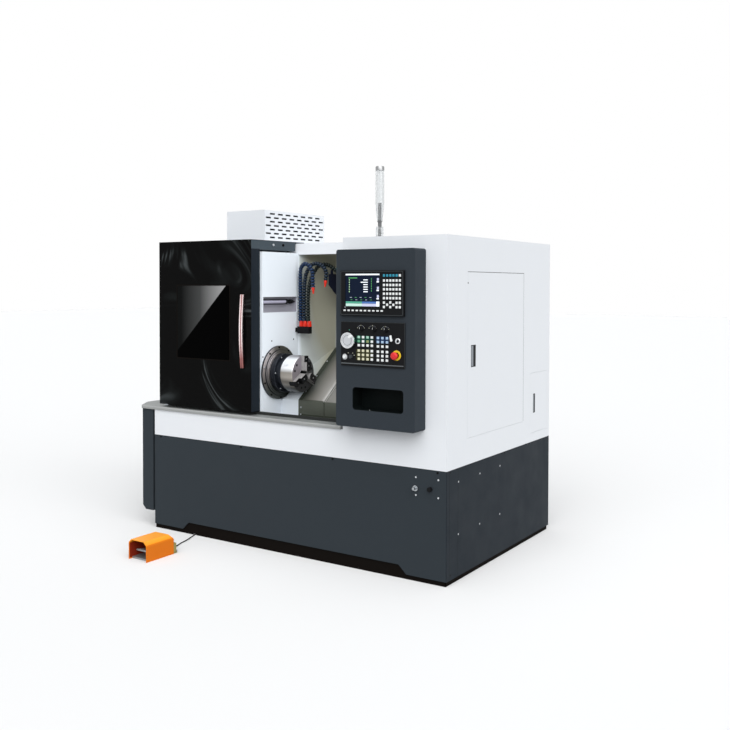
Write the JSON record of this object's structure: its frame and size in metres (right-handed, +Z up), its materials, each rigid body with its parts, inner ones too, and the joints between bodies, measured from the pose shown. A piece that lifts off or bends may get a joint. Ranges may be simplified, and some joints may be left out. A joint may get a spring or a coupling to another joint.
{
  "type": "cnc turning lathe",
  "caption": "Slant-bed CNC turning lathe: three-jaw chuck, telescopic way covers, turret, coolant hoses, sliding door, control box, signal lamp and a floor foot switch.",
  "frame": {"origin": "on the floor under the middle of the bounding box of the machine and its foot switch", "axes": "+X to the machine's right as its operator faces it, along the spindle from chuck to turret; +Y to the back; +Z up"},
  "size_m": [2.094, 1.746, 2.0122],
  "materials": {
    "slate_enamel": "fine-textured slate enamel",
    "white_enamel": "fine-textured white enamel",
    "olive_enamel": "satin olive-grey enamel",
    "black_gloss": "gloss black with a smoke-grey print",
    "stainless": "brushed",
    "cast_enamel": "painted casting",
    "ground_steel": "ground and turned",
    "dark_steel": "blackened",
    "chrome": "polished",
    "copper_anodised": "rose-copper anodised",
    "glass": "smoked",
    "clear_plastic": "clear",
    "black_plastic": "matt black",
    "navy_plastic": "dark blue",
    "orange_plastic": "orange-red",
    "white_plastic": "white",
    "red_plastic": "red",
    "orange_enamel": "orange enamel",
    "black_rubber": "black"
  },
  "bodies": {
    "machine": {"base_frame": "cast_enamel", "base_skirt": "slate_enamel", "end_housing": "slate_enamel", "sill": "stainless", "cabinet_shell": "white_enamel", "headstock_guard": "white_enamel", "back_guard": "olive_enamel", "chip_pan": "stainless", "lamp_tray": "white_enamel", "lamp_tube": "clear_plastic", "lamp_gland": "black_plastic", "slant_bed": "cast_enamel", "way_guard": "stainless", "headstock": "cast_enamel", "bearing_cap": "ground_steel", "coolant_manifold": "black_plastic", "coolant_hose_1": "navy_plastic", "coolant_hose_2": "navy_plastic", "coolant_hose_3": "navy_plastic", "coolant_nozzle_1": "orange_plastic", "coolant_nozzle_2": "orange_plastic", "louvre_box": "white_enamel", "beacon_base": "stainless", "beacon_lens": "clear_plastic", "control_box": "slate_enamel", "display_unit": "black_plastic", "display_screen": "glass", "operator_panel": "black_plastic", "air_inlet": "chrome", "air_port": "black_plastic", "pedal_guard": "orange_enamel", "pedal_base": "ground_steel", "pedal_gland": "black_rubber", "pedal_cord": "black_rubber"},
    "front_door": {"front_door": "black_gloss", "door_pane": "glass", "door_pull": "copper_anodised"},
    "side_door": {"side_door": "white_enamel", "side_door_pull": "black_plastic"},
    "rear_hatch": {"rear_hatch": "white_enamel", "rear_hatch_pull": "black_plastic"},
    "spindle": {"spindle": "dark_steel", "chuck": "ground_steel"},
    "jaw_1": {"jaw_1": "dark_steel"},
    "jaw_2": {"jaw_2": "dark_steel"},
    "jaw_3": {"jaw_3": "dark_steel"},
    "mid_cover": {"mid_cover": "stainless"},
    "saddle": {"saddle": "ground_steel"},
    "cross_slide": {"cross_slide": "cast_enamel"},
    "turret": {"turret_disc": "ground_steel"},
    "handwheel": {"handwheel": "chrome"},
    "override_knob_1": {"override_knob_1": "black_plastic"},
    "override_knob_2": {"override_knob_2": "black_plastic"},
    "override_knob_3": {"override_knob_3": "black_plastic"},
    "lever_switch": {"lever_switch": "white_plastic"},
    "key_switch": {"key_switch": "chrome"},
    "cycle_start": {"cycle_start": "white_plastic"},
    "feed_hold": {"feed_hold": "black_plastic"},
    "emergency_stop": {"emergency_stop": "red_plastic"},
    "pedal_treadle": {"pedal_treadle": "ground_steel"}
  },
  "joints": [
    {"name": "front_door_slide", "type": "slide", "parent": "machine", "child": "front_door", "axis": [1, 0, 0], "range_m": [0, 0.589]},
    {"name": "side_door_hinge", "type": "hinge", "parent": "machine", "child": "side_door", "pos_m": [1.047, 0.5022, 0.669], "axis": [0, 0, 1], "range_deg": [0, 110]},
    {"name": "rear_hatch_hinge", "type": "hinge", "parent": "machine", "child": "rear_hatch", "pos_m": [1.047, 0.8372, 0.591], "axis": [0, 0, 1], "range_deg": [0, 110]},
    {"name": "spindle_turn", "type": "hinge", "parent": "machine", "child": "spindle", "pos_m": [-0.127, -0.151, 0.926], "axis": [1, 0, 0], "continuous": true},
    {"name": "jaw_1_slide", "type": "slide", "parent": "spindle", "child": "jaw_1", "axis": [0, 0, -1], "range_m": [0, 0.01]},
    {"name": "jaw_2_slide", "type": "slide", "parent": "spindle", "child": "jaw_2", "axis": [0, 0.866, 0.5], "range_m": [0, 0.01]},
    {"name": "jaw_3_slide", "type": "slide", "parent": "spindle", "child": "jaw_3", "axis": [0, -0.866, 0.5], "range_m": [0, 0.01]},
    {"name": "saddle_slide", "type": "slide", "parent": "machine", "child": "saddle", "axis": [-1, 0, 0], "range_m": [0, 0.3]},
    {"name": "mid_cover_slide", "type": "slide", "parent": "machine", "child": "mid_cover", "axis": [-1, 0, 0], "range_m": [0, 0.15]},
    {"name": "cross_slide_slide", "type": "slide", "parent": "saddle", "child": "cross_slide", "axis": [0, -0.7934, -0.6088], "range_m": [0, 0.15]},
    {"name": "turret_index", "type": "hinge", "parent": "cross_slide", "child": "turret", "pos_m": [0.603, 0.07907, 1.10254], "axis": [-1, 0, 0], "continuous": true},
    {"name": "handwheel_turn", "type": "hinge", "parent": "machine", "child": "handwheel", "pos_m": [0.573, -0.4726, 1.143], "axis": [0, -1, 0], "continuous": true},
    {"name": "override_knob_1_turn", "type": "hinge", "parent": "machine", "child": "override_knob_1", "pos_m": [0.64, -0.4726, 1.198], "axis": [0, -1, 0], "range_deg": [-140, 140]},
    {"name": "override_knob_2_turn", "type": "hinge", "parent": "machine", "child": "override_knob_2", "pos_m": [0.714, -0.4726, 1.198], "axis": [0, -1, 0], "range_deg": [-140, 140]},
    {"name": "override_knob_3_turn", "type": "hinge", "parent": "machine", "child": "override_knob_3", "pos_m": [0.779, -0.4726, 1.198], "axis": [0, -1, 0], "range_deg": [-140, 140]},
    {"name": "lever_switch_turn", "type": "hinge", "parent": "machine", "child": "lever_switch", "pos_m": [0.813, -0.4726, 1.151], "axis": [0, -1, 0], "range_deg": [-60, 60]},
    {"name": "key_switch_turn", "type": "hinge", "parent": "machine", "child": "key_switch", "pos_m": [0.845, -0.4726, 1.148], "axis": [0, -1, 0], "range_deg": [0, 90]},
    {"name": "cycle_start_press", "type": "slide", "parent": "machine", "child": "cycle_start", "axis": [0, 1, 0], "range_m": [0, 0.0018], "stiffness_N_per_m": 600},
    {"name": "feed_hold_press", "type": "slide", "parent": "machine", "child": "feed_hold", "axis": [0, 1, 0], "range_m": [0, 0.0018], "stiffness_N_per_m": 600},
    {"name": "emergency_stop_press", "type": "slide", "parent": "machine", "child": "emergency_stop", "axis": [0, 1, 0], "range_m": [0, 0.004]},
    {"name": "pedal_treadle_hinge", "type": "hinge", "parent": "machine", "child": "pedal_treadle", "pos_m": [-0.461, -0.722, 0.022], "axis": [1, 0, 0], "range_deg": [0, 8], "stiffness_Nm_per_rad": 4, "springref_deg": -17.19}
  ],
  "couplings": [
    {"joint": "jaw_2_slide", "follows": "jaw_1_slide", "ratio": 1},
    {"joint": "jaw_3_slide", "follows": "jaw_1_slide", "ratio": 1},
    {"joint": "mid_cover_slide", "follows": "saddle_slide", "ratio": 0.5}
  ]
}
